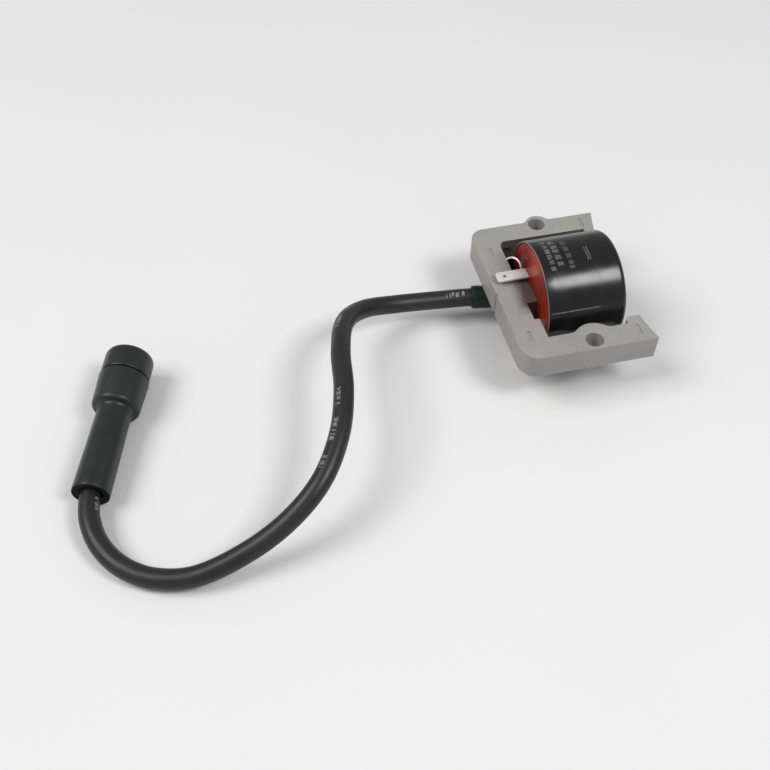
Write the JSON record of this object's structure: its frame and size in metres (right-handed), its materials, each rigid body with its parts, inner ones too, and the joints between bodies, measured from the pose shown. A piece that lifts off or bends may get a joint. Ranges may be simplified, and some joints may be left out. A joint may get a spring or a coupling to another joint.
{
  "type": "ignition coil",
  "caption": "Solid-state ignition coil: round potted coil on a laminated E-shaped core, with a kill tab and a high-tension lead to a straight spark plug boot.",
  "frame": {"origin": "midway between the two mounting holes, on the underside of the laminated core (its mounting face)", "axes": "+Z normal to the laminations, away from the mounting face; +X along the legs from the yoke to the flywheel-side pole tips; +Y from the coil towards the leg with the outward ear"},
  "size_m": [0.2094, 0.1224, 0.0408],
  "materials": {
    "core_sheet_steel": "thin pale grey lacquer over stamped electrical steel, satin",
    "housing_plastic": "glossy black moulded thermoset",
    "red_resin": "glossy translucent red-brown potting resin",
    "bobbin_nylon": "natural glass-filled nylon",
    "copper_wire": "enamelled copper winding",
    "insulation_film": "wrapped polyester film",
    "board_laminate": "green glass-epoxy board",
    "black_epoxy": "moulded component bodies",
    "resistor_body": "tan lacquered body",
    "tinned_metal": "tinned bright metal",
    "brass_parts": "plain brass",
    "spring_steel": "zinc plated spring steel",
    "green_sleeve": "dark green sleeving, satin",
    "lead_jacket": "matte black synthetic rubber",
    "boot_rubber": "matte dark grey rubber"
  },
  "bodies": {
    "coil_module": {"core_top_sheet": "core_sheet_steel", "core_inner_sheets": "core_sheet_steel", "core_bottom_sheet": "core_sheet_steel", "coil_housing": "housing_plastic", "potting_resin": "red_resin", "primary_bobbin": "bobbin_nylon", "primary_winding": "copper_wire", "winding_insulation": "insulation_film", "secondary_bobbin": "bobbin_nylon", "secondary_winding": "copper_wire", "circuit_board": "board_laminate", "power_transistor": "black_epoxy", "control_chip": "black_epoxy", "bias_resistor": "resistor_body", "flyback_diode": "black_epoxy", "primary_wires": "tinned_metal", "high_voltage_pin": "brass_parts", "kill_terminal": "tinned_metal", "ground_strap": "tinned_metal", "lead_sleeve": "green_sleeve", "ignition_lead": "lead_jacket", "conductor_coil_end": "tinned_metal", "conductor_plug_end": "tinned_metal", "crimp_ferrule": "brass_parts", "plug_clip": "spring_steel"},
    "boot": {"plug_boot": "boot_rubber"}
  },
  "joints": [
    {"name": "boot_swivel", "type": "hinge", "parent": "coil_module", "child": "boot", "pos_m": [-0.17392, -0.02593, -0.00766], "axis": [0.2988, 0.9534, 0.0419], "continuous": true}
  ]
}
